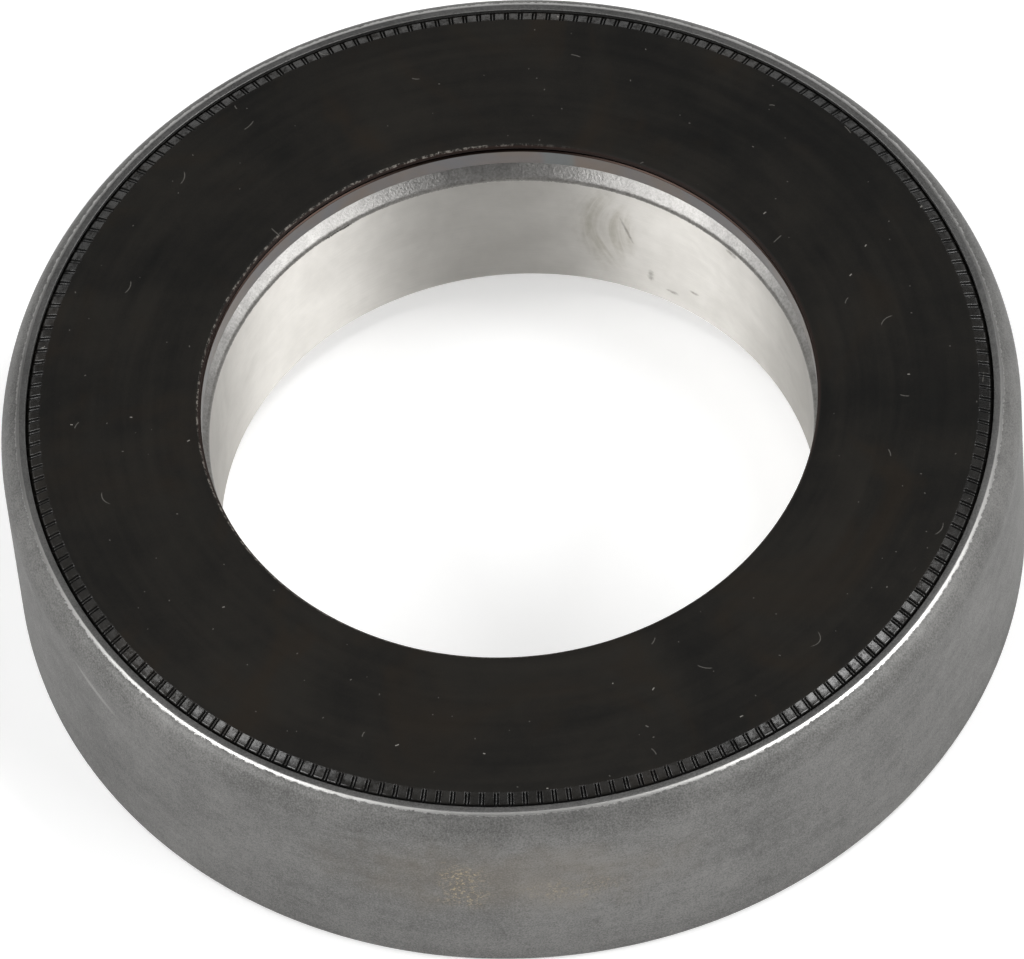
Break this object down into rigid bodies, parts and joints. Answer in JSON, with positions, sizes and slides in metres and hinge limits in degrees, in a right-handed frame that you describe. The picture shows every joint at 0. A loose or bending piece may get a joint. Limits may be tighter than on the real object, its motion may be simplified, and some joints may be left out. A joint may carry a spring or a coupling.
{
  "type": "clutch release bearing",
  "caption": "Sealed ball-type clutch release bearing: turned steel outer ring with a rounded front shoulder, serrated snap-in rubber seal, ground bore with a lead-in.",
  "frame": {"origin": "centre of the outer ring's back face, on the bearing axis", "axes": "+Z along the bearing axis, from the back face towards the seal that faces the clutch"},
  "size_m": [0.118, 0.118, 0.0283],
  "materials": {
    "outer_steel": "turned, dull grey with a light oil film",
    "inner_steel": "ground bore, turned chamfer and end face",
    "seal_rubber": "moulded, matt",
    "cage_plastic": "moulded",
    "ball_steel": "lapped"
  },
  "bodies": {
    "inner": {"inner_ring": "inner_steel"},
    "outer": {"outer_ring": "outer_steel", "front_seal": "seal_rubber", "rear_seal": "seal_rubber"},
    "cage": {"cage": "cage_plastic"},
    "ball_01": {"ball_01": "ball_steel"},
    "ball_02": {"ball_02": "ball_steel"},
    "ball_03": {"ball_03": "ball_steel"},
    "ball_04": {"ball_04": "ball_steel"},
    "ball_05": {"ball_05": "ball_steel"},
    "ball_06": {"ball_06": "ball_steel"},
    "ball_07": {"ball_07": "ball_steel"},
    "ball_08": {"ball_08": "ball_steel"},
    "ball_09": {"ball_09": "ball_steel"},
    "ball_10": {"ball_10": "ball_steel"},
    "ball_11": {"ball_11": "ball_steel"},
    "ball_12": {"ball_12": "ball_steel"},
    "ball_13": {"ball_13": "ball_steel"},
    "ball_14": {"ball_14": "ball_steel"},
    "ball_15": {"ball_15": "ball_steel"},
    "ball_16": {"ball_16": "ball_steel"}
  },
  "joints": [
    {"name": "outer_spin", "type": "hinge", "parent": "inner", "child": "outer", "pos_m": [0, 0, 0.014], "axis": [0, 0, 1], "continuous": true},
    {"name": "cage_spin", "type": "hinge", "parent": "inner", "child": "cage", "pos_m": [0, 0, 0.014], "axis": [0, 0, 1], "continuous": true},
    {"name": "ball_01_spin", "type": "hinge", "parent": "cage", "child": "ball_01", "pos_m": [0.047, 0, 0.014], "axis": [-0.5, 0, 0.866], "continuous": true},
    {"name": "ball_02_spin", "type": "hinge", "parent": "cage", "child": "ball_02", "pos_m": [0.04342, 0.01799, 0.014], "axis": [-0.4619, -0.1913, 0.866], "continuous": true},
    {"name": "ball_03_spin", "type": "hinge", "parent": "cage", "child": "ball_03", "pos_m": [0.03323, 0.03323, 0.014], "axis": [-0.3536, -0.3536, 0.866], "continuous": true},
    {"name": "ball_04_spin", "type": "hinge", "parent": "cage", "child": "ball_04", "pos_m": [0.01799, 0.04342, 0.014], "axis": [-0.1913, -0.4619, 0.866], "continuous": true},
    {"name": "ball_05_spin", "type": "hinge", "parent": "cage", "child": "ball_05", "pos_m": [0, 0.047, 0.014], "axis": [0, -0.5, 0.866], "continuous": true},
    {"name": "ball_06_spin", "type": "hinge", "parent": "cage", "child": "ball_06", "pos_m": [-0.01799, 0.04342, 0.014], "axis": [0.1913, -0.4619, 0.866], "continuous": true},
    {"name": "ball_07_spin", "type": "hinge", "parent": "cage", "child": "ball_07", "pos_m": [-0.03323, 0.03323, 0.014], "axis": [0.3536, -0.3536, 0.866], "continuous": true},
    {"name": "ball_08_spin", "type": "hinge", "parent": "cage", "child": "ball_08", "pos_m": [-0.04342, 0.01799, 0.014], "axis": [0.4619, -0.1913, 0.866], "continuous": true},
    {"name": "ball_09_spin", "type": "hinge", "parent": "cage", "child": "ball_09", "pos_m": [-0.047, 0, 0.014], "axis": [0.5, 0, 0.866], "continuous": true},
    {"name": "ball_10_spin", "type": "hinge", "parent": "cage", "child": "ball_10", "pos_m": [-0.04342, -0.01799, 0.014], "axis": [0.4619, 0.1913, 0.866], "continuous": true},
    {"name": "ball_11_spin", "type": "hinge", "parent": "cage", "child": "ball_11", "pos_m": [-0.03323, -0.03323, 0.014], "axis": [0.3536, 0.3536, 0.866], "continuous": true},
    {"name": "ball_12_spin", "type": "hinge", "parent": "cage", "child": "ball_12", "pos_m": [-0.01799, -0.04342, 0.014], "axis": [0.1913, 0.4619, 0.866], "continuous": true},
    {"name": "ball_13_spin", "type": "hinge", "parent": "cage", "child": "ball_13", "pos_m": [0, -0.047, 0.014], "axis": [0, 0.5, 0.866], "continuous": true},
    {"name": "ball_14_spin", "type": "hinge", "parent": "cage", "child": "ball_14", "pos_m": [0.01799, -0.04342, 0.014], "axis": [-0.1913, 0.4619, 0.866], "continuous": true},
    {"name": "ball_15_spin", "type": "hinge", "parent": "cage", "child": "ball_15", "pos_m": [0.03323, -0.03323, 0.014], "axis": [-0.3536, 0.3536, 0.866], "continuous": true},
    {"name": "ball_16_spin", "type": "hinge", "parent": "cage", "child": "ball_16", "pos_m": [0.04342, -0.01799, 0.014], "axis": [-0.4619, 0.1913, 0.866], "continuous": true}
  ],
  "couplings": [
    {"joint": "cage_spin", "follows": "outer_spin", "ratio": 0.56581},
    {"joint": "ball_01_spin", "follows": "outer_spin", "ratio": 3.2327},
    {"joint": "ball_02_spin", "follows": "outer_spin", "ratio": 3.2327},
    {"joint": "ball_03_spin", "follows": "outer_spin", "ratio": 3.2327},
    {"joint": "ball_04_spin", "follows": "outer_spin", "ratio": 3.2327},
    {"joint": "ball_05_spin", "follows": "outer_spin", "ratio": 3.2327},
    {"joint": "ball_06_spin", "follows": "outer_spin", "ratio": 3.2327},
    {"joint": "ball_07_spin", "follows": "outer_spin", "ratio": 3.2327},
    {"joint": "ball_08_spin", "follows": "outer_spin", "ratio": 3.2327},
    {"joint": "ball_09_spin", "follows": "outer_spin", "ratio": 3.2327},
    {"joint": "ball_10_spin", "follows": "outer_spin", "ratio": 3.2327},
    {"joint": "ball_11_spin", "follows": "outer_spin", "ratio": 3.2327},
    {"joint": "ball_12_spin", "follows": "outer_spin", "ratio": 3.2327},
    {"joint": "ball_13_spin", "follows": "outer_spin", "ratio": 3.2327},
    {"joint": "ball_14_spin", "follows": "outer_spin", "ratio": 3.2327},
    {"joint": "ball_15_spin", "follows": "outer_spin", "ratio": 3.2327},
    {"joint": "ball_16_spin", "follows": "outer_spin", "ratio": 3.2327}
  ]
}
